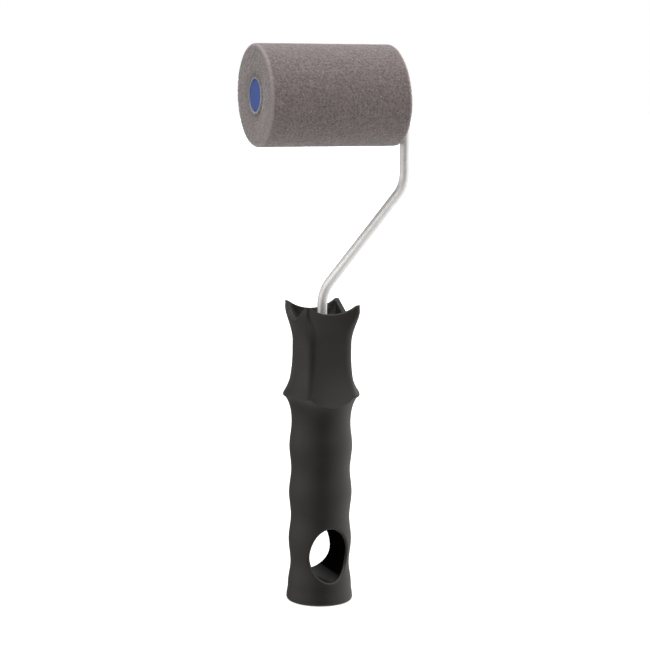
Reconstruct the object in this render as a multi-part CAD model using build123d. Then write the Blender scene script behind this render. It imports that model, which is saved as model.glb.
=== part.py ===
from build123d import *
import os
from math import atan2, cos, pi, radians, sin

# Mini paint roller: a moulded handle, a bent wire frame and a foam roller that spins on the wire.
# Millimetres. Origin at the centre of the handle's base, +Z up the handle, roller axis along X.

# Grip, a turned shape with finger waves
GRIP_MEAN_RADIUS = 14.95
GRIP_WAVE_HEIGHT = 0.5
GRIP_WAVE_PITCH = 23.4
FIRST_CREST_Z = 30.5
CREST_COUNT = 3
BASE_RADIUS = 16.3
BASE_EDGE_RADIUS = 1.4
BASE_STEP_RADIUS = 15.65
BASE_STEP_Z = 7.6

# Hanging hole, an oval straight through the grip
HOLE_WIDTH = 18.3
HOLE_HEIGHT = 26.4
HOLE_CENTRE_Z = 24.8
HOLE_RIM_RADIUS = 1.0

# Square waist between the hand guard below and the crown above
WAIST_HALF_SIDE = 12.0
WAIST_CORNER = 4.6
WAIST_LOW_Z = 122.0
WAIST_HIGH_Z = 128.2

# Hand guard. The square waist flares down to a round rim, and hangs as a tongue front and back.
GUARD_RIM_Z = 103.3
GUARD_RADIUS = 18.7
GUARD_FRONT_Y = 15.2
GUARD_FLARE_POWER = 1.85
GUARD_RIDGE_ANGLE = 49.0
GUARD_RIDGE_EASE = 1.4
GUARD_RIDGE_SLOPE = 0.125
GUARD_HEM_Z = 102.4
GUARD_BOTTOM_Z = 96.6
TONGUE_TIP_Z = 98.3
TONGUE_ARC_RADIUS = 17.3

# Neck, the round concave flare from the grip to the underside of the guard
NECK_RIM_RADIUS = 18.2
NECK_RIM_SLOPE = (0.62, 0, 0.78)

# Crown, where the waist flares up to four horns round a hollow mouth
HANDLE_TOP_Z = 147.4
CROWN_FULL_Z = 144.6
CROWN_GROWTH_X = 2.2
CROWN_GROWTH_Y = 2.75
CROWN_BOW = 1.3
CROWN_DISH = 0.9
CROWN_CORNER = 1.8
CROWN_WALL = 2.1
RIM_DIP_Z = 143.2
RIM_CORNER_Z = 148.6
NOTCH_APEX_Z = 139.3
NOTCH_FLANK_RUN = 15.6
NOTCH_FLANK_RISE = 11.2
NOTCH_FLANK_BOW = 1.7
HORN_ROUNDING = 1.2
CUP_FLOOR_Z = 131.5
BOSS_RADIUS = 4.6
BOSS_TOP_Z = 135.0

# Wire frame
WIRE_RADIUS = 2.4
SHANK_FOOT_Z = 106.0
LOWER_BEND_Z = 152.8
ARM_X = 42.4
UPPER_BEND_Z = 203.1
LOWER_BEND_RADIUS = 17.0
UPPER_BEND_RADIUS = 16.0
AXLE_BEND_RADIUS = 6.0
AXLE_Z = 246.8
WIRE_TIP_X = -32.0
TIP_CHAMFER = 0.6
SWAGE_WIDTH = 6.4
SWAGE_THICKNESS = 3.0
SWAGE_Z = 111.0
SWAGE_LENGTH = 7.0
EAR_WIDTH = 7.4
EAR_THICKNESS = 3.0
EAR_LENGTH = 1.6
EAR_INNER_X = 34.2

# Roller
FOAM_LENGTH = 70.0
FOAM_RADIUS = 24.0
TUBE_RADIUS = 8.7
TUBE_WALL = 1.0
TUBE_LENGTH = 70.4
RUNNING_CLEARANCE = 0.05
FITTING_WALL = 1.2
FITTING_WEB = 1.6
FITTING_DEPTH = 9.0
FITTING_EDGE = 0.5
HUB_RADIUS = 4.4
HUB_DEPTH = 9.6
PLUG_FACE_X = -34.8
BUSH_FACE_X = 33.0
BUSH_HUB_PROUD = 0.3

# Washers on the axle
THRUST_WASHER_RADIUS = 4.9
THRUST_WASHER_THICKNESS = 0.8
LOCK_WASHER_RADIUS = 6.2
LOCK_WASHER_THICKNESS = 0.5
LOCK_WASHER_BITE = 0.05
LOCK_SLOT_COUNT = 6
LOCK_SLOT_WIDTH = 0.9
LOCK_SLOT_REACH = 4.4
END_FLOAT = 0.6
FACE_GAP = 0.05

GRIP_TOP_Z = FIRST_CREST_Z + (CREST_COUNT - 0.5) * GRIP_WAVE_PITCH
GRIP_TOP_RADIUS = GRIP_MEAN_RADIUS - GRIP_WAVE_HEIGHT
ARC_WEIGHT = cos(pi / 8)

# Cuts that go right through are this long, and cuts that open a face run this far past it
BIG = 60.0
PAST_FACE = 1.0


def smooth(fraction):
    """Ease from 0 to 1, level at both ends."""
    held = min(max(fraction, 0.0), 1.0)
    return held * held * (3 - 2 * held)


def mix(start, end, share):
    return start + (end - start) * share


def spread(low, high, count):
    """Evenly spaced heights from low to high."""
    return [mix(low, high, step / (count - 1)) for step in range(count)]


# An outline is a ring of 16 points: eight arc ends with a control point before each.
# Four arcs are the sides and four are the corners, so every section of a loft matches the next.


def ring(side_x, side_end, ridge, front_end, front_y):
    """One quarter given, mirrored into a whole outline. The sides' middles lie at side_x and front_y."""
    pull = (1 + ARC_WEIGHT) / ARC_WEIGHT
    side = (side_end[0] + (side_x - side_end[0]) * pull, 0)
    front = (0, front_end[1] + (front_y - front_end[1]) * pull)
    turn = [side_end, ridge, front_end]
    mirrored = [(-x, y) for x, y in reversed(turn)]
    half = [side] + turn + [front] + mirrored
    return half + [(-x, -y) for x, y in half]


def square_outline(half_x, half_y, corner, mid_x, mid_y):
    """A square with eased corners."""
    return ring(mid_x, (half_x, half_y - corner), (half_x, half_y), (half_x - corner, half_y), mid_y)


def guard_outline():
    """The guard at its rim: round at the two sides, flatter front and back, a soft ridge between."""
    angle = radians(GUARD_RIDGE_ANGLE)
    start = angle - GUARD_RIDGE_EASE / GUARD_RADIUS
    side_end = (GUARD_RADIUS * cos(start), GUARD_RADIUS * sin(start))
    ridge = (GUARD_RADIUS * cos(angle), GUARD_RADIUS * sin(angle))
    front_end = (ridge[0] - GUARD_RIDGE_EASE, ridge[1] + GUARD_RIDGE_EASE * GUARD_RIDGE_SLOPE)
    return ring(GUARD_RADIUS, side_end, ridge, front_end, GUARD_FRONT_Y)


def mix_outlines(start, end, share_x, share_y):
    return [(mix(x, u, share_x), mix(y, v, share_y)) for (x, y), (u, v) in zip(start, end)]


def section(outline, height):
    """A flat face at one height inside an outline."""
    points = [(x, y, height) for x, y in outline]
    arcs = []
    for start in range(1, 16, 2):
        through = [points[(start + step) % 16] for step in range(3)]
        arcs.append(Bezier(*through, weights=[1, ARC_WEIGHT, 1]))
    return make_face(arcs)


def loft_up(outline_at, heights):
    return loft([section(outline_at(z), z) for z in heights])


# Handle


def grip():
    """Turned grip: a stepped base, waves for the fingers, then the neck flaring under the guard."""
    flank_points = [(BASE_RADIUS, BASE_EDGE_RADIUS), (BASE_STEP_RADIUS, BASE_STEP_Z)]
    for half_wave in range(-1, 2 * CREST_COUNT):
        side = -GRIP_WAVE_HEIGHT if half_wave % 2 else GRIP_WAVE_HEIGHT
        height = FIRST_CREST_Z + half_wave * GRIP_WAVE_PITCH / 2
        flank_points.append((GRIP_MEAN_RADIUS + side, height))
    flank = Spline(*[(r, 0, z) for r, z in flank_points], tangents=[(0, 0, 1)] * len(flank_points))
    neck_foot = (GRIP_TOP_RADIUS, 0, GRIP_TOP_Z)
    neck_rim = (NECK_RIM_RADIUS, 0, GUARD_HEM_Z)
    neck = Spline(neck_foot, neck_rim, tangents=[(0, 0, 1), NECK_RIM_SLOPE])
    foot = (BASE_RADIUS - BASE_EDGE_RADIUS, 0, 0)
    kink = BASE_EDGE_RADIUS * (1 - cos(pi / 4))
    edge = ThreePointArc(foot, (BASE_RADIUS - kink, 0, kink), (BASE_RADIUS, 0, BASE_EDGE_RADIUS))
    close = Polyline(neck_rim, (0, 0, GUARD_HEM_Z), (0, 0, 0), foot)
    return revolve(make_face([edge, flank, neck, close]), axis=Axis.Z)


def upper_outline(z):
    """Outer shape above the grip. Below the guard's rim only the front and back go on flaring."""
    if z < WAIST_LOW_Z:
        flare = ((WAIST_LOW_Z - z) / (WAIST_LOW_Z - GUARD_RIM_Z)) ** GUARD_FLARE_POWER
        waist = square_outline(
            WAIST_HALF_SIDE, WAIST_HALF_SIDE, WAIST_CORNER, WAIST_HALF_SIDE, WAIST_HALF_SIDE
        )
        return mix_outlines(waist, guard_outline(), min(flare, 1), flare)
    return crown_outline(z, 0)


def crown_outline(z, inset):
    """The crown's section at one height, its walls moved inward by inset."""
    flare = smooth((z - WAIST_HIGH_Z) / (CROWN_FULL_Z - WAIST_HIGH_Z))
    half_x = WAIST_HALF_SIDE + CROWN_GROWTH_X * flare - inset
    half_y = WAIST_HALF_SIDE + CROWN_GROWTH_Y * flare - inset
    corner = mix(WAIST_CORNER, CROWN_CORNER, flare**3)
    return square_outline(half_x, half_y, corner, half_x + CROWN_BOW * flare, half_y - CROWN_DISH * flare)


def arc_radius(half_chord, sagitta):
    return (half_chord**2 + sagitta**2) / (2 * sagitta)


def under_hem():
    """Everything below the guard's hem, which is level at the sides and dips as an arc at each tongue."""
    depth = GUARD_HEM_Z + PAST_FACE
    slab = Pos(0, 0, GUARD_HEM_Z - depth / 2) * Box(BIG, BIG, depth)
    tongue = Rot(90, 0, 0) * Cylinder(TONGUE_ARC_RADIUS, BIG)
    return slab - Pos(0, 0, TONGUE_TIP_Z + TONGUE_ARC_RADIUS) * tongue


def notch():
    """A V through the crown from side to side, its two flanks bowed downwards."""
    steepness = atan2(NOTCH_FLANK_RISE, NOTCH_FLANK_RUN)
    middle_y = NOTCH_FLANK_RUN / 2 + NOTCH_FLANK_BOW * sin(steepness)
    middle_z = NOTCH_APEX_Z + NOTCH_FLANK_RISE / 2 - NOTCH_FLANK_BOW * cos(steepness)
    top_z = NOTCH_APEX_Z + NOTCH_FLANK_RISE
    apex = (0, NOTCH_APEX_Z)
    corners = [(NOTCH_FLANK_RUN, top_z), (-NOTCH_FLANK_RUN, top_z)]
    flanks = [
        ThreePointArc(apex, (middle_y, middle_z), corners[0]),
        ThreePointArc(apex, (-middle_y, middle_z), corners[1]),
    ]
    outline = make_face(flanks + [Line(*corners)])
    return extrude(Plane.YZ * outline, amount=BIG / 2, both=True)


def crown_waste():
    """The crown's rim cuts: a dip along the front and back, and the notch."""
    dip_radius = arc_radius(WAIST_HALF_SIDE + CROWN_GROWTH_X, RIM_CORNER_Z - RIM_DIP_Z)
    dip = Pos(0, 0, RIM_DIP_Z + dip_radius) * Rot(90, 0, 0) * Cylinder(dip_radius, BIG)
    return dip + notch()


def round_horns(crown):
    """Ease the flat top of each horn into the rim's slopes on both sides."""
    tops = crown.edges().filter_by_position(Axis.Z, HANDLE_TOP_Z - 0.01, HANDLE_TOP_Z + 0.01)
    return fillet(tops.filter_by(GeomType.LINE), HORN_ROUNDING)


def upper():
    """Guard, waist and crown in one, with the hollow mouth and the boss that grips the wire."""
    heights = (
        spread(GUARD_BOTTOM_Z, GUARD_RIM_Z, 5)
        + spread(GUARD_RIM_Z, WAIST_LOW_Z, 10)[1:]
        + [mix(WAIST_LOW_Z, WAIST_HIGH_Z, 0.5)]
        + spread(WAIST_HIGH_Z, CROWN_FULL_Z, 9)
        + [HANDLE_TOP_Z]
    )
    body = loft_up(upper_outline, heights)
    cup_heights = spread(CUP_FLOOR_Z, CROWN_FULL_Z, 7) + [HANDLE_TOP_Z + PAST_FACE]
    cup = loft_up(lambda z: crown_outline(z, CROWN_WALL), cup_heights)
    boss_height = BOSS_TOP_Z - CUP_FLOOR_Z
    cup -= Pos(0, 0, CUP_FLOOR_Z + boss_height / 2) * Cylinder(BOSS_RADIUS, boss_height)
    return round_horns(body - crown_waste() - cup)


def hanging_hole(solid):
    """Cut the oval hole through front to back and round both rims."""
    oval = Plane.XZ * Ellipse(HOLE_WIDTH / 2, HOLE_HEIGHT / 2)
    tunnel = Pos(0, 0, HOLE_CENTRE_Z) * extrude(oval, amount=BIG / 2, both=True)
    drilled = solid - tunnel
    before = set(solid.edges())
    new_edges = [edge for edge in drilled.edges() if edge not in before]
    reach = GRIP_MEAN_RADIUS / 2
    rims = [edge for edge in new_edges if abs(edge.center().X) < reach < abs(edge.center().Y)]
    return fillet(rims, HOLE_RIM_RADIUS)


def handle_body():
    below = under_hem()
    handle = (hanging_hole(grip()) & below) + (upper() - below)
    bore_length = BOSS_TOP_Z + PAST_FACE - SHANK_FOOT_Z
    bore = Pos(0, 0, SHANK_FOOT_Z + bore_length / 2) * Cylinder(WIRE_RADIUS, bore_length)
    return handle - bore


# Wire frame


def swaged_stop(width, thickness, length):
    """A short stretch where the round wire is squeezed flat and spreads sideways."""
    return extrude(Ellipse(width / 2, thickness / 2), amount=length)


def wire_frame():
    path = FilletPolyline(
        (0, 0, SHANK_FOOT_Z),
        (0, 0, LOWER_BEND_Z),
        (ARM_X, 0, UPPER_BEND_Z),
        (ARM_X, 0, AXLE_Z),
        (WIRE_TIP_X, 0, AXLE_Z),
        radius=[LOWER_BEND_RADIUS, UPPER_BEND_RADIUS, AXLE_BEND_RADIUS],
    )
    wire = sweep(Plane(path @ 0, z_dir=path % 0) * Circle(WIRE_RADIUS), path=path)
    ends = [wire.faces().sort_by(Axis.X)[0], wire.faces().sort_by(Axis.Z)[0]]
    wire = chamfer([edge for face in ends for edge in face.edges()], TIP_CHAMFER)
    shank_swage = Pos(0, 0, SWAGE_Z) * swaged_stop(SWAGE_WIDTH, SWAGE_THICKNESS, SWAGE_LENGTH)
    ear = swaged_stop(EAR_WIDTH, EAR_THICKNESS, EAR_LENGTH)
    ears = Pos(EAR_INNER_X, 0, AXLE_Z) * Rot(0, 90, 0) * ear
    return wire + shank_swage + ears


# Pieces round the axle, each drawn along +X and then placed


def along_axle(start_x, end_x, radius):
    """A round bar on the roller's axis between two places."""
    return Pos((start_x + end_x) / 2, 0, AXLE_Z) * Rot(0, 90, 0) * Cylinder(radius, abs(end_x - start_x))


def ring_on_axle(start_x, end_x, outer, inner):
    return along_axle(start_x, end_x, outer) - along_axle(start_x, end_x, inner)


def core_tube():
    half = TUBE_LENGTH / 2
    return ring_on_axle(-half, half, TUBE_RADIUS, TUBE_RADIUS - TUBE_WALL)


def foam_cover():
    half = FOAM_LENGTH / 2
    return ring_on_axle(-half, half, FOAM_RADIUS, TUBE_RADIUS)


def fitting_cup(face_x, inward):
    """The cup shared by the plug and the bush: a web, a rim that grips the tube and a hub for the axle."""
    outer = TUBE_RADIUS - TUBE_WALL
    web_x = face_x + inward * FITTING_WEB
    mouth_x = face_x + inward * FITTING_DEPTH
    cup = along_axle(face_x, mouth_x, outer) - along_axle(web_x, mouth_x, outer - FITTING_WALL)
    return cup + along_axle(face_x, face_x + inward * HUB_DEPTH, HUB_RADIUS)


def end_plug():
    """Closed cap at the free end, with a blind bearing hole for the wire's tip."""
    plug = fitting_cup(PLUG_FACE_X, 1)
    rim = plug.faces().sort_by(Axis.X)[0].edges()
    plug = chamfer(rim, FITTING_EDGE)
    bore = along_axle(PLUG_FACE_X + FITTING_WEB, PLUG_FACE_X + HUB_DEPTH, WIRE_RADIUS + RUNNING_CLEARANCE)
    return plug - bore


def bearing_bush():
    """Open bush at the arm end, bored right through for the axle."""
    hub_face = BUSH_FACE_X + BUSH_HUB_PROUD
    bush = fitting_cup(BUSH_FACE_X, -1) + along_axle(BUSH_FACE_X, hub_face, HUB_RADIUS)
    bore = along_axle(BUSH_FACE_X - HUB_DEPTH, hub_face, WIRE_RADIUS + RUNNING_CLEARANCE)
    return bush - bore


def thrust_washer():
    low = BUSH_FACE_X + BUSH_HUB_PROUD + FACE_GAP
    high = low + THRUST_WASHER_THICKNESS
    return ring_on_axle(low, high, THRUST_WASHER_RADIUS, WIRE_RADIUS + RUNNING_CLEARANCE)


def retaining_washer():
    """Push-on spring washer whose teeth bite the wire behind the bush."""
    high = BUSH_FACE_X - HUB_DEPTH - END_FLOAT - FACE_GAP
    low = high - LOCK_WASHER_THICKNESS
    washer = ring_on_axle(low, high, LOCK_WASHER_RADIUS, WIRE_RADIUS - LOCK_WASHER_BITE)
    slot = Box(2 * LOCK_WASHER_THICKNESS, LOCK_SLOT_REACH, LOCK_SLOT_WIDTH)
    slot = Pos(0, LOCK_SLOT_REACH / 2, 0) * slot
    for step in range(LOCK_SLOT_COUNT):
        turn = Rot(360 / LOCK_SLOT_COUNT * step, 0, 0)
        washer -= Pos((low + high) / 2, 0, AXLE_Z) * turn * slot
    return washer


PIECES = {
    "handle_body": handle_body,
    "wire_frame": wire_frame,
    "retaining_washer": retaining_washer,
    "thrust_washer": thrust_washer,
    "bearing_bush": bearing_bush,
    "end_plug": end_plug,
    "core_tube": core_tube,
    "foam_cover": foam_cover,
}

os.makedirs("parts", exist_ok=True)
for name, build in PIECES.items():
    export_step(build(), f"parts/{name}.step")
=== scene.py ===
import bpy
import bmesh
from collections import namedtuple
from math import ceil, cos, hypot, pi, radians, sin, tan
from mathutils import Matrix, Vector, noise


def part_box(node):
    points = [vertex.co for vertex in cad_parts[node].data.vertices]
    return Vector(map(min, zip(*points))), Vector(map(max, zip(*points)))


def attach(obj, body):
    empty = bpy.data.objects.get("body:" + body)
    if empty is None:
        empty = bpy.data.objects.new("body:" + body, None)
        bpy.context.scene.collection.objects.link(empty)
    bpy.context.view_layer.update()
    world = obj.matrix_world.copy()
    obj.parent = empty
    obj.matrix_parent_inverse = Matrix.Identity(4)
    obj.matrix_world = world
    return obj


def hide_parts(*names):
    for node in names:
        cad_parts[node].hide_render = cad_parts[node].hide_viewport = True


# A mini foam paint roller over a white floor. Metres, in the frame's own axes: +Z up the handle,
# the roller's axis along X. Azimuth 0 is the side that faces -Y.

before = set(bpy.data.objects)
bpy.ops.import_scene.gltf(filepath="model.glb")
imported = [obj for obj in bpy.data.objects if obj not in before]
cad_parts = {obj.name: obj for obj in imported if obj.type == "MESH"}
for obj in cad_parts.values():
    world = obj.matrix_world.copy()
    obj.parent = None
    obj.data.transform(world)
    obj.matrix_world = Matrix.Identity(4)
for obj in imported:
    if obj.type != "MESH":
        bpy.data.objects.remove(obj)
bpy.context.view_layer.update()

MM = 0.001

# Camera, a little above the middle of the object and to its left
CAMERA_AZIMUTH = radians(-21.91)
CAMERA_ELEVATION = radians(8.72)
CAMERA_ROLL = radians(0.60)
CAMERA_DISTANCE = 0.9199
CAMERA_TARGET = Vector((0, 0, 0.130))
CAMERA_LENS = 105.1
CAMERA_SENSOR = 36
CAMERA_SHIFT = (0.0048, 0.0203)

# Light: a dim dome with broad soft lobes, each (azimuth, elevation, strength, narrowness)
DOME_STRENGTH = 0.085
LIGHT_LOBES = [
    (radians(74), radians(5), 1.04, 2.0),  # right side
    (radians(-82), radians(10), 0.84, 3.0),  # left side
    (radians(-122), radians(5), 0.40, 8.0),  # left and behind
    (radians(-150), radians(5), 0.10, 3.0),  # farther behind
    (radians(135), radians(0), 0.24, 2.0),  # right and behind
    (radians(22), radians(38), 0.62, 7.0),  # front, high
    (radians(-30), radians(80), 3.55, 7.0),  # overhead
    (radians(0), radians(-88), 1.60, 4.5),  # underneath
    (radians(100), radians(-40), 0.15, 4.0),  # right, low
]

# Floor
FLOOR_REACH = 6.0
FLOOR_LIFT = 0.62
FLOOR_COLOUR = (0.8, 0.8, 0.8, 1)

# Foam sleeve, cut from open-cell foam
FOAM_STEPS_ROUND = 372
FOAM_SIDE_STEP = 0.40 * MM
FOAM_END_STEP = 0.46 * MM
FOAM_EDGE_RADIUS = 1.1 * MM
FOAM_BORE_GAP = 0.04 * MM
FOAM_LIFT = 0.28 * MM
FOAM_DISH = 1.1 * MM
FOAM_SWELL = 0.10 * MM
FOAM_SWELL_SIZE = 11 * MM
FOAM_PORE_DEPTH = 0.26 * MM
FOAM_PORE_WALL = 0.5
FREE_END_TILT = radians(-1.4)
FREE_END_SHIFT = -0.3 * MM
ARM_END_TILT = radians(-4.3)

# Foam colours: pale struts with painted shade in the pores, a few painted glints, and painted light round
# each cut end
FOAM_CELL = 1.25 * MM
FOAM_SMALL_CELL = 0.70 * MM
FOAM_PAINTED_GLINT_SPACING = 2.1 * MM
FOAM_DRIFT_SIZE = 5 * MM
FOAM_DRIFT_DARK = (0.90, 0.90, 0.90)
FOAM_DRIFT_LIGHT = (1.06, 1.05, 1.05)
FOAM_BUMP = 0.15 * MM
FOAM_PORE_PAINTED_SHADE_COLOUR = (0.103, 0.085, 0.081)
FOAM_STRUT_COLOUR = (0.231, 0.191, 0.184)
FOAM_PAINTED_GLINT_COLOUR = (0.62, 0.58, 0.57, 1)
FOAM_PAINTED_GLINT_SHARE = (0.36, 0.36, 0.36)
FOAM_EDGE_PAINTED_LIGHT_COLOUR = (0.42, 0.355, 0.355, 1)
FOAM_EDGE_PAINTED_LIGHT_REACH = 1.5 * MM
FOAM_END_PAINTED_LIGHT = 0.10
FOAM_SHINE = 0.1
FOAM_SHEEN = 0.5
FOAM_SHEEN_ROUGHNESS = 0.5

# Handle plastic: near black, with edges made paler by wear and painted highlight, painted shade on the
# hole walls and painted light on the mouth's inner walls
HANDLE_DARK = (0.0088, 0.0076, 0.0065)
HANDLE_LIGHT = (0.0126, 0.0109, 0.0093)
HANDLE_PATCH_SIZE = 14 * MM
HANDLE_FLOW_SIZE = 2.5 * MM
HANDLE_FLOW_STRETCH = (1, 1, 3)
HANDLE_ROUGHNESS = (0.34, 0.50)
HANDLE_SHINE = 0.5
HANDLE_SHINE_TINT = (1.0, 0.97, 0.92, 1)
HANDLE_GRAIN_SIZE = 0.32 * MM
HANDLE_GRAIN_DEPTH = 0.02 * MM
WEAR_AND_HIGHLIGHT_COLOUR = (0.110, 0.104, 0.100, 1)
WEAR_AND_HIGHLIGHT_EDGE_RADIUS = 0.45 * MM
WEAR_AND_HIGHLIGHT_GAIN = 9.0
WEAR_AND_HIGHLIGHT_SOFTNESS = 0.1
BEVEL_SAMPLES = 8
HOLE_PAINTED_SHADE_COLOUR = (0.003, 0.003, 0.003, 1)
MOUTH_PAINTED_LIGHT_LOW = (0.012, 0.012, 0.011)
MOUTH_PAINTED_LIGHT_HIGH = (0.034, 0.035, 0.032)
MOUTH_PAINTED_LIGHT_SIZE = 1.2 * MM
INNER_WALL_DEPTH = 4 * MM
CORNER_REACH = 4 * MM
CORNER_WEAR_AND_HIGHLIGHT_FADE = 3.0

# Metal: clouded zinc on the wire, plain spring steel on the retaining washer
METAL_CLOUD_SIZE = 3 * MM
METAL_STREAK_SIZE = 0.5 * MM
METAL_STREAK_STRETCH = (0.12, 1, 0.12)
METAL_STREAK_DEPTH = 0.002 * MM
ZINC_DARK = (0.82, 0.81, 0.79)
ZINC_LIGHT = (0.94, 0.925, 0.905)
ZINC_ROUGHNESS = (0.42, 0.58)
SPRING_DARK = (0.36, 0.35, 0.34)
SPRING_LIGHT = (0.46, 0.45, 0.43)
SPRING_ROUGHNESS = (0.25, 0.40)

# Small mouldings: blue plug and bush, pale tube, natural nylon washer
MOULDING_PATCH_SIZE = 3 * MM
MOULDING_GRAIN_SIZE = 0.25 * MM
MOULDING_GRAIN_DEPTH = 0.008 * MM
BLUE_DARK = (0.043, 0.090, 0.335)
BLUE_LIGHT = (0.053, 0.106, 0.390)
BLUE_ROUGHNESS = (0.37, 0.48)
TUBE_DARK = (0.30, 0.32, 0.37)
TUBE_LIGHT = (0.36, 0.38, 0.44)
TUBE_ROUGHNESS = (0.40, 0.51)
NYLON_DARK = (0.70, 0.68, 0.62)
NYLON_LIGHT = (0.78, 0.76, 0.71)
NYLON_ROUGHNESS = (0.45, 0.56)

# Every soft noise's roughness, and a Mix node's colour sockets, by number because their names repeat
CLOUD_ROUGHNESS = 0.6
MIX_SHARE = 0
MIX_FIRST = 6
MIX_SECOND = 7
MIX_RESULT = 2


# Node helpers


def node_adder(tree):
    """A function that adds a node to the tree with its inputs filled in by name."""
    tree.nodes.clear()

    def add(kind, **inputs):
        node = tree.nodes.new("ShaderNode" + kind)
        for key, value in inputs.items():
            plug(node.inputs[key.replace("_", " ")], value)
        return node

    return add


def plug(socket, value):
    """Fill an input with another node's output, or with a plain value."""
    if isinstance(value, bpy.types.NodeSocket):
        socket.id_data.links.new(value, socket)
    else:
        socket.default_value = value


def new_material(name):
    material = bpy.data.materials.new(name)
    material.use_nodes = True
    return material, node_adder(material.node_tree)


def finish_material(add, **inputs):
    shader = add("BsdfPrincipled", **inputs)
    add("OutputMaterial", Surface=shader.outputs[0])


def calculate(add, operation, *values):
    node = add("Math")
    node.operation = operation
    for socket, value in zip(node.inputs, values):
        plug(socket, value)
    return node.outputs[0]


def calculate_vector(add, operation, first, second, output="Vector"):
    node = add("VectorMath")
    node.operation = operation
    plug(node.inputs[0], first)
    plug(node.inputs[1], second)
    return node.outputs[output]


def rescale(add, value, low, high):
    """A value from 0 to 1, stretched to run from low to high."""
    return calculate(add, "MULTIPLY_ADD", value, high - low, low)


def ramp(add, factor, *stops):
    """A colour ramp through (place, colour) stops."""
    node = add("ValToRGB", Fac=factor)
    band = node.color_ramp
    while len(band.elements) < len(stops):
        band.elements.new(0.5)
    for element, (place, colour) in zip(band.elements, stops):
        element.position = place
        element.color = (*colour, 1)
    return node.outputs["Color"]


def mixed(add, share, first, second, blend="MIX"):
    """Colour first where share is 0, and first blended with second where it is 1."""
    node = add("Mix")
    node.data_type = "RGBA"
    node.blend_type = blend
    plug(node.inputs[MIX_SHARE], share)
    plug(node.inputs[MIX_FIRST], first)
    plug(node.inputs[MIX_SECOND], second)
    return node.outputs[MIX_RESULT]


def clouds(add, size, detail=3, stretch=(1, 1, 1)):
    """Soft noise from 0 to 1 whose patches are about size metres across."""
    coordinates = add("TexCoord").outputs["Object"]
    where = add("Mapping", Vector=coordinates, Scale=stretch).outputs["Vector"]
    noise_node = add("TexNoise", Vector=where, Scale=1 / size, Detail=detail, Roughness=CLOUD_ROUGHNESS)
    return noise_node.outputs["Fac"]


def cells(add, size):
    """Distance from the middle of the nearest foam cell: 0 in a pore, near 1 on its walls."""
    coordinates = add("TexCoord").outputs["Object"]
    return add("TexVoronoi", Vector=coordinates, Scale=1 / size).outputs["Distance"]


def bumpy(add, height, depth, **more):
    return add("Bump", Height=height, Distance=depth, Strength=1.0, **more).outputs["Normal"]


def two_tone(add, patches, dark, light):
    """A colour that drifts from dark to light with the patches of a soft noise."""
    return ramp(add, patches, (0.3, dark), (0.7, light))


# Handle plastic


def edge_wear_and_highlight(add, radius):
    """The rounded-off normal of a sharp edge, and a mask that is 1 along such edges."""
    soft = add("Bevel", Radius=radius)
    soft.samples = BEVEL_SAMPLES
    sharp = add("NewGeometry").outputs["Normal"]
    agreement = calculate_vector(add, "DOT_PRODUCT", soft.outputs["Normal"], sharp, "Value")
    turned = calculate(add, "MULTIPLY_ADD", agreement, -WEAR_AND_HIGHLIGHT_GAIN, WEAR_AND_HIGHLIGHT_GAIN)
    return soft.outputs["Normal"], calculate(add, "SMOOTH_MIN", turned, 1.0, WEAR_AND_HIGHLIGHT_SOFTNESS)


def corner_openness(add, reach):
    """1 on open faces, less inside corners and creases whose walls are nearer than reach."""
    shelter = add("AmbientOcclusion", Distance=reach)
    shelter.only_local = True
    return shelter.outputs["AO"]


def inner_walls(add):
    """Masks of the faces that look inwards: the hanging hole's walls low down, the mouth's high up.

    A wall counts in full from INNER_WALL_DEPTH off the handle's axis, and less nearer to it.
    """
    here = add("TexCoord").outputs["Object"]
    level = calculate_vector(add, "MULTIPLY", here, (1, 1, 0))
    outward = calculate_vector(add, "DOT_PRODUCT", level, add("NewGeometry").outputs["Normal"], "Value")
    inward = calculate(add, "DIVIDE", outward, -INNER_WALL_DEPTH)
    inward = calculate(add, "MINIMUM", calculate(add, "MAXIMUM", inward, 0.0), 1.0)
    low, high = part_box("handle_body")
    middle_z = (low.z + high.z) / 2
    height = add("SeparateXYZ", Vector=here).outputs["Z"]
    hole = calculate(add, "MULTIPLY", inward, calculate(add, "LESS_THAN", height, middle_z))
    mouth = calculate(add, "MULTIPLY", inward, calculate(add, "GREATER_THAN", height, middle_z))
    return hole, mouth


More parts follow.
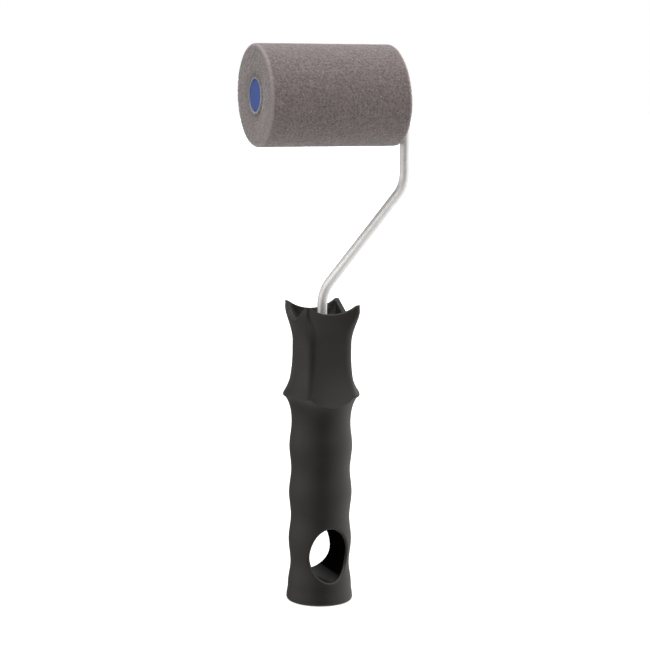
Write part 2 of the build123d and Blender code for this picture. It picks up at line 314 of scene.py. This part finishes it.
def handle_plastic():
    """Black moulded plastic with fine grain and faint flow marks, and painted shade inside the hole: dead
    black, with no shine.
    """
    material, add = new_material("handle_plastic")
    hole, mouth = inner_walls(add)
    flow = clouds(add, HANDLE_FLOW_SIZE, 3, HANDLE_FLOW_STRETCH)
    colour = two_tone(add, clouds(add, HANDLE_PATCH_SIZE, 4), HANDLE_DARK, HANDLE_LIGHT)
    # Openness dims the shine below: painted shade in corners, creases and under overhangs.
    openness = corner_openness(add, CORNER_REACH)
    # Edges painted paler: partly wear, partly painted highlight, faded out in corners.
    rounded, edges = edge_wear_and_highlight(add, WEAR_AND_HIGHLIGHT_EDGE_RADIUS)
    edges = calculate(add, "MULTIPLY", edges, calculate(add, "POWER", openness, CORNER_WEAR_AND_HIGHLIGHT_FADE))
    colour = mixed(add, calculate(add, "MULTIPLY", edges, flow), colour, WEAR_AND_HIGHLIGHT_COLOUR)
    # Painted shade: the hanging hole's walls are painted dead black, and below they also lose their shine.
    colour = mixed(add, hole, colour, HOLE_PAINTED_SHADE_COLOUR)
    # Painted light: the mouth's inner walls are painted lighter, in cloudy patches.
    mouth_painted_light = ramp(add, clouds(add, MOUTH_PAINTED_LIGHT_SIZE, 4), (0.35, MOUTH_PAINTED_LIGHT_LOW), (0.65, MOUTH_PAINTED_LIGHT_HIGH))
    shine = calculate(add, "MULTIPLY_ADD", hole, -HANDLE_SHINE, HANDLE_SHINE)
    finish_material(
        add,
        Base_Color=mixed(add, mouth, colour, mouth_painted_light),
        Roughness=rescale(add, flow, *HANDLE_ROUGHNESS),
        Specular_IOR_Level=calculate(add, "MULTIPLY", shine, openness),
        Specular_Tint=HANDLE_SHINE_TINT,
        Normal=bumpy(add, clouds(add, HANDLE_GRAIN_SIZE, 3), HANDLE_GRAIN_DEPTH, Normal=rounded),
    )
    return material


# Metal and the small mouldings


def drawn_metal(name, dark, light, roughness):
    """Wire or spring steel with a clouded tone and fine streaks along Z and X."""
    material, add = new_material(name)
    streaks = clouds(add, METAL_STREAK_SIZE, 2, METAL_STREAK_STRETCH)
    finish_material(
        add,
        Base_Color=two_tone(add, clouds(add, METAL_CLOUD_SIZE, 4), dark, light),
        Metallic=1.0,
        Roughness=rescale(add, streaks, *roughness),
        Normal=bumpy(add, streaks, METAL_STREAK_DEPTH),
    )
    return material


def moulded_plastic(name, dark, light, roughness):
    """A coloured moulding with a faint grain and slight colour drift."""
    material, add = new_material(name)
    patches = clouds(add, MOULDING_PATCH_SIZE, 4)
    finish_material(
        add,
        Base_Color=two_tone(add, patches, dark, light),
        Roughness=rescale(add, patches, *roughness),
        Normal=bumpy(add, clouds(add, MOULDING_GRAIN_SIZE, 2), MOULDING_GRAIN_DEPTH),
    )
    return material


def dress_cad_nodes():
    zinc = drawn_metal("wire_steel", ZINC_DARK, ZINC_LIGHT, ZINC_ROUGHNESS)
    spring = drawn_metal("spring_steel", SPRING_DARK, SPRING_LIGHT, SPRING_ROUGHNESS)
    blue = moulded_plastic("blue_plastic", BLUE_DARK, BLUE_LIGHT, BLUE_ROUGHNESS)
    materials = {
        "handle_body": handle_plastic(),
        "wire_frame": zinc,
        "retaining_washer": spring,
        "thrust_washer": moulded_plastic("washer_plastic", NYLON_DARK, NYLON_LIGHT, NYLON_ROUGHNESS),
        "bearing_bush": blue,
        "end_plug": blue,
        "core_tube": moulded_plastic("tube_plastic", TUBE_DARK, TUBE_LIGHT, TUBE_ROUGHNESS),
    }
    for node, material in materials.items():
        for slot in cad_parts[node].material_slots:
            slot.material = material


# Foam sleeve

# Half the sleeve's length, the radius of its bore and its outer radius
Sleeve = namedtuple("Sleeve", "half bore outer")


def foam():
    """Warm grey open-cell foam: pale struts with painted shade in the pores, a few painted glints, and
    painted light on the cut edge.
    """
    material, add = new_material("foam")
    cell_sum = calculate(add, "ADD", cells(add, FOAM_CELL), cells(add, FOAM_SMALL_CELL))
    pores = calculate(add, "MULTIPLY", cell_sum, 0.5)
    # Painted shade: the pores are painted darker than the struts.
    tone = ramp(add, pores, (0.12, FOAM_PORE_PAINTED_SHADE_COLOUR), (0.62, FOAM_STRUT_COLOUR))
    drift = two_tone(add, clouds(add, FOAM_DRIFT_SIZE, 4), FOAM_DRIFT_DARK, FOAM_DRIFT_LIGHT)
    tone = mixed(add, 1.0, tone, drift, "MULTIPLY")
    # Painted glints: small pale specks.
    painted_glint = ramp(add, cells(add, FOAM_PAINTED_GLINT_SPACING), (0.05, FOAM_PAINTED_GLINT_SHARE), (0.20, (0, 0, 0)))
    tone = mixed(add, painted_glint, tone, FOAM_PAINTED_GLINT_COLOUR)
    # Painted light: paler on the cut edges, and a little on the end faces.
    edge_painted_light = add("Attribute")
    edge_painted_light.attribute_name = "edge_painted_light"
    finish_material(
        add,
        Base_Color=mixed(add, edge_painted_light.outputs["Fac"], tone, FOAM_EDGE_PAINTED_LIGHT_COLOUR),
        Roughness=1.0,
        Specular_IOR_Level=FOAM_SHINE,
        Sheen_Weight=FOAM_SHEEN,
        Sheen_Roughness=FOAM_SHEEN_ROUGHNESS,
        Normal=bumpy(add, pores, FOAM_BUMP),
    )
    return material


def steps_between(start, end, step):
    """Points along a straight line in the (x, radius) plane, the far end left out."""
    count = max(1, ceil(hypot(end[0] - start[0], end[1] - start[1]) / step))
    for index in range(count):
        share = index / count
        yield (start[0] + (end[0] - start[0]) * share, start[1] + (end[1] - start[1]) * share)


def foam_profile(sleeve):
    """The sleeve's section as a closed loop of (x, radius): end, rounded edge, side, edge, end, bore."""
    half, bore, outer = sleeve
    edge = FOAM_EDGE_RADIUS
    arc_steps = ceil(edge * pi / 2 / FOAM_SIDE_STEP) + 1
    arc = [index / arc_steps * pi / 2 for index in range(arc_steps)]
    loop = list(steps_between((-half, bore), (-half, outer - edge), FOAM_END_STEP))
    loop += [(-half + edge * (1 - cos(a)), outer - edge * (1 - sin(a))) for a in arc]
    loop += steps_between((-half + edge, outer), (half - edge, outer), FOAM_SIDE_STEP)
    loop += [(half - edge * (1 - sin(a)), outer - edge * (1 - cos(a))) for a in arc]
    loop += steps_between((half, outer - edge), (half, bore), FOAM_END_STEP)
    loop += steps_between((half, bore), (-half, bore), half)
    return loop


def section_normal(loop, index):
    """The section's outward direction at one of its points, as (x, radius)."""
    before = loop[index - 1]
    after = loop[(index + 1) % len(loop)]
    return Vector((before[1] - after[1], after[0] - before[0])).normalized()


def pore_depth(point):
    """How far the skin sinks at a point: deep in the middle of a cell, nothing on its walls."""
    distances, _ = noise.voronoi(point / FOAM_CELL)
    wall = min((distances[1] - distances[0]) / FOAM_PORE_WALL, 1.0)
    return FOAM_PORE_DEPTH * wall * wall * (3 - 2 * wall)


def edge_painted_light_amount(sleeve, x, radius):
    """How much painted light the foam gets at a place on its section: most on the cut edge, a little on
    the end face.
    """
    from_edge = hypot(sleeve.half - abs(x), sleeve.outer - radius)
    on_end = FOAM_END_PAINTED_LIGHT if abs(x) == sleeve.half else 0.0
    return max(on_end, 1 - from_edge / FOAM_EDGE_PAINTED_LIGHT_REACH)


def ring_points(sleeve, x, radius, normal):
    """One ring of the skin, about the sleeve's middle: pored, swollen, and leaning as the ends are cut."""
    free_end = (sleeve.half - x) / (2 * sleeve.half)
    lean = tan(ARM_END_TILT) + (tan(FREE_END_TILT) - tan(ARM_END_TILT)) * free_end
    dish = FOAM_DISH * ((sleeve.outer - radius) / (sleeve.outer - sleeve.bore)) ** 3
    on_bore = radius < sleeve.bore + FOAM_SIDE_STEP / 2
    for step in range(FOAM_STEPS_ROUND):
        angle = 2 * pi * step / FOAM_STEPS_ROUND
        around = Vector((0, cos(angle), sin(angle)))
        point = Vector((x, 0, 0)) + around * radius
        outward = Vector((normal.x, 0, 0)) + around * normal.y
        if not on_bore:
            swell = FOAM_SWELL * noise.noise(point / FOAM_SWELL_SIZE)
            point += outward * (FOAM_LIFT + swell - dish - pore_depth(point))
        point.x += lean * point.z + FREE_END_SHIFT * free_end
        yield point


def foam_mesh(sleeve, centre):
    """The sleeve's skin, a closed grid of rings round the axle, with its painted light at every vertex."""
    form = bmesh.new()
    # Each vertex keeps how much painted light it gets near the cut edges.
    edge_painted_light = form.verts.layers.float.new("edge_painted_light")
    loop = foam_profile(sleeve)
    rings = []
    for index, (x, radius) in enumerate(loop):
        points = ring_points(sleeve, x, radius, section_normal(loop, index))
        ring = [form.verts.new(centre + point) for point in points]
        for vertex in ring:
            vertex[edge_painted_light] = edge_painted_light_amount(sleeve, x, radius)
        rings.append(ring)
    for index, ring in enumerate(rings):
        following = rings[(index + 1) % len(rings)]
        for step in range(FOAM_STEPS_ROUND):
            beside = (step + 1) % FOAM_STEPS_ROUND
            form.faces.new((ring[step], ring[beside], following[beside], following[step]))
    bmesh.ops.recalc_face_normals(form, faces=form.faces)
    mesh = bpy.data.meshes.new("foam_sleeve")
    form.to_mesh(mesh)
    form.free()
    mesh.shade_smooth()
    return mesh


def foam_sleeve():
    low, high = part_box("foam_cover")
    tube_low, tube_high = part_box("core_tube")
    bore = (tube_high.z - tube_low.z) / 2 + FOAM_BORE_GAP
    sleeve = Sleeve((high.x - low.x) / 2, bore, (high.z - low.z) / 2)
    centre = Vector(((low.x + high.x) / 2, 0, (low.z + high.z) / 2))
    mesh = foam_mesh(sleeve, centre)
    mesh.materials.append(foam())
    cover = bpy.data.objects.new("foam_sleeve", mesh)
    bpy.context.collection.objects.link(cover)
    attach(cover, "roller")
    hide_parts("foam_cover")


# Stage


def floor_white():
    """A white lifted by its own glow so that it melts into the background, and clear from below."""
    material, add = new_material("floor_white")
    from_below = add("NewGeometry").outputs["Backfacing"]
    finish_material(
        add,
        Base_Color=FLOOR_COLOUR,
        Roughness=1.0,
        Specular_IOR_Level=0.0,
        Emission_Color=(1, 1, 1, 1),
        Emission_Strength=FLOOR_LIFT,
        Alpha=calculate(add, "SUBTRACT", 1.0, from_below),
    )
    return material


def backdrop():
    """A wide floor that only the camera sees, so that the dome lights the object from below too."""
    mesh = bpy.data.meshes.new("floor")
    corners = [(-FLOOR_REACH, -FLOOR_REACH, 0), (FLOOR_REACH, -FLOOR_REACH, 0)]
    corners += [(-x, -y, 0) for x, y, _ in corners]
    mesh.from_pydata(corners, [], [(0, 1, 2, 3)])
    mesh.materials.append(floor_white())
    floor = bpy.data.objects.new("floor", mesh)
    bpy.context.collection.objects.link(floor)
    floor.visible_diffuse = False
    floor.visible_glossy = False
    floor.visible_shadow = False


def heading(azimuth, elevation):
    """The unit vector that points from the object towards an azimuth and elevation."""
    level = Vector((sin(azimuth), -cos(azimuth), 0)) * cos(elevation)
    return level + Vector((0, 0, sin(elevation)))


def studio():
    """White to the camera, and a soft uneven dome to everything else."""
    world = bpy.data.worlds.new("studio")
    world.use_nodes = True
    add = node_adder(world.node_tree)
    direction = add("TexCoord").outputs["Generated"]
    strength = DOME_STRENGTH
    for azimuth, elevation, lobe, narrowness in LIGHT_LOBES:
        toward = heading(azimuth, elevation)
        facing = calculate_vector(add, "DOT_PRODUCT", direction, toward, "Value")
        near = calculate(add, "MAXIMUM", facing, 0.0)
        fading = calculate(add, "POWER", near, narrowness)
        strength = calculate(add, "MULTIPLY_ADD", fading, lobe, strength)
    seen = add("LightPath").outputs["Is Camera Ray"]
    to_white = calculate(add, "SUBTRACT", 1.0, strength)
    strength = calculate(add, "MULTIPLY_ADD", seen, to_white, strength)
    background = add("Background", Color=(1, 1, 1, 1), Strength=strength)
    add("OutputWorld", Surface=background.outputs[0])
    bpy.context.scene.world = world


def camera():
    toward = heading(CAMERA_AZIMUTH, CAMERA_ELEVATION)
    right = Vector((cos(CAMERA_AZIMUTH), sin(CAMERA_AZIMUTH), 0))
    up = toward.cross(right)
    rolled_right = right * cos(CAMERA_ROLL) + up * sin(CAMERA_ROLL)
    rolled_up = up * cos(CAMERA_ROLL) - right * sin(CAMERA_ROLL)
    turn = Matrix((rolled_right, rolled_up, toward)).transposed().to_4x4()
    data = bpy.data.cameras.new("camera")
    data.lens = CAMERA_LENS
    data.sensor_width = CAMERA_SENSOR
    data.shift_x, data.shift_y = CAMERA_SHIFT
    view = bpy.data.objects.new("camera", data)
    bpy.context.collection.objects.link(view)
    view.matrix_world = Matrix.Translation(CAMERA_TARGET + toward * CAMERA_DISTANCE) @ turn
    bpy.context.scene.camera = view


dress_cad_nodes()
foam_sleeve()
backdrop()
studio()
camera()
bpy.context.scene.view_settings.view_transform = "Standard"
